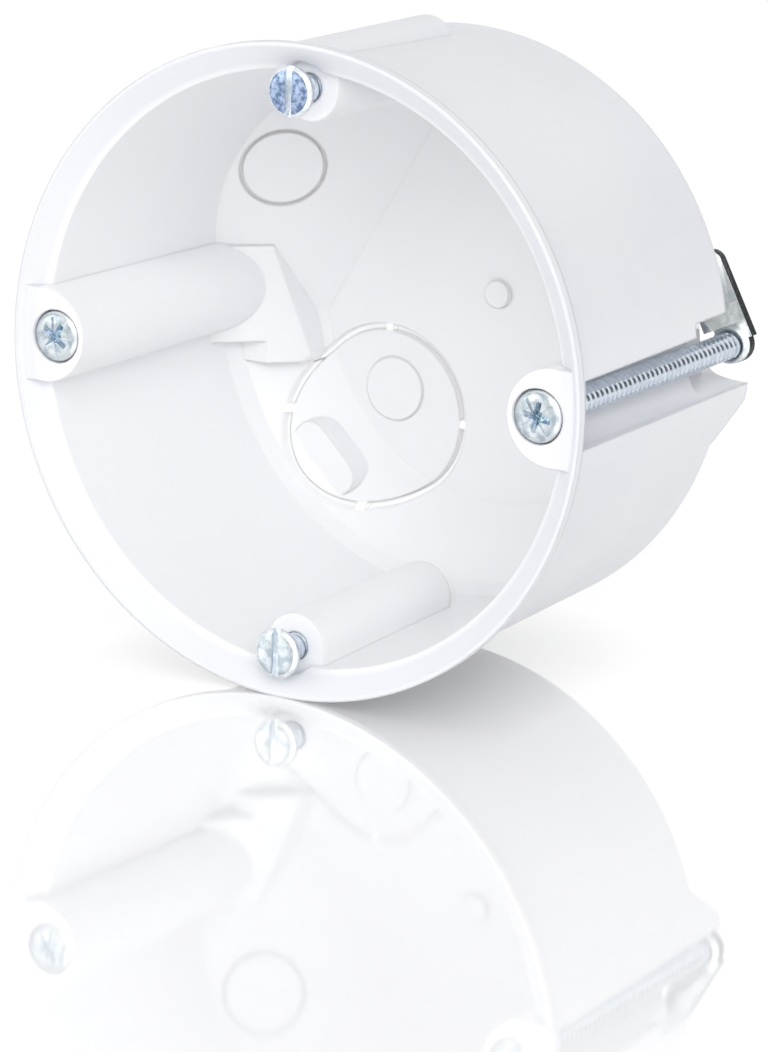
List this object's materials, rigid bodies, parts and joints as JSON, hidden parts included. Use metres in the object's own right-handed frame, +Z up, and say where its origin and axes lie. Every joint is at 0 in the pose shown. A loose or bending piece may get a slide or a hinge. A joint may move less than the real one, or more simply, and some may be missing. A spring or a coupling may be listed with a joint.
{
  "type": "drywall back box",
  "caption": "Round white plastic cavity wall box for a 68 mm hole, with two steel clamp claws on long cross-head screws and two slotted device screws.",
  "frame": {"origin": "centre of the rim, in the plane of its front edge", "axes": "+X to the right, +Y into the wall along the box's axis, +Z up, with the device screws above and below and the clamp screws left and right"},
  "size_m": [0.07, 0.0471, 0.07],
  "materials": {
    "white_plastic": "satin",
    "zinc_steel": "zinc plated",
    "claw_steel": "stamped sheet"
  },
  "bodies": {
    "box": {"box_body": "white_plastic"},
    "screw_r": {"clamp_screw_right": "zinc_steel"},
    "screw_l": {"clamp_screw_left": "zinc_steel"},
    "claw_r": {"claw_right": "claw_steel"},
    "claw_l": {"claw_left": "claw_steel"},
    "screw_t": {"device_screw_top": "zinc_steel"},
    "screw_b": {"device_screw_bottom": "zinc_steel"}
  },
  "joints": [
    {"name": "clamp_screw_right_turn", "type": "hinge", "parent": "box", "child": "screw_r", "pos_m": [0.0298, 0, 0], "axis": [0, 1, 0], "continuous": true},
    {"name": "clamp_screw_left_turn", "type": "hinge", "parent": "box", "child": "screw_l", "pos_m": [-0.0298, 0, 0], "axis": [0, 1, 0], "continuous": true},
    {"name": "claw_right_swing", "type": "hinge", "parent": "box", "child": "claw_r", "pos_m": [0.0298, 0.044, 0], "axis": [0, 1, 0], "range_deg": [0, 118]},
    {"name": "claw_left_swing", "type": "hinge", "parent": "box", "child": "claw_l", "pos_m": [-0.0298, 0.044, 0], "axis": [0, 1, 0], "range_deg": [0, 118]},
    {"name": "device_screw_top_travel", "type": "slide", "parent": "box", "child": "screw_t", "axis": [0, -1, 0], "range_m": [-0.0022, 0.01]},
    {"name": "device_screw_bottom_travel", "type": "slide", "parent": "box", "child": "screw_b", "axis": [0, -1, 0], "range_m": [-0.0022, 0.01]}
  ]
}
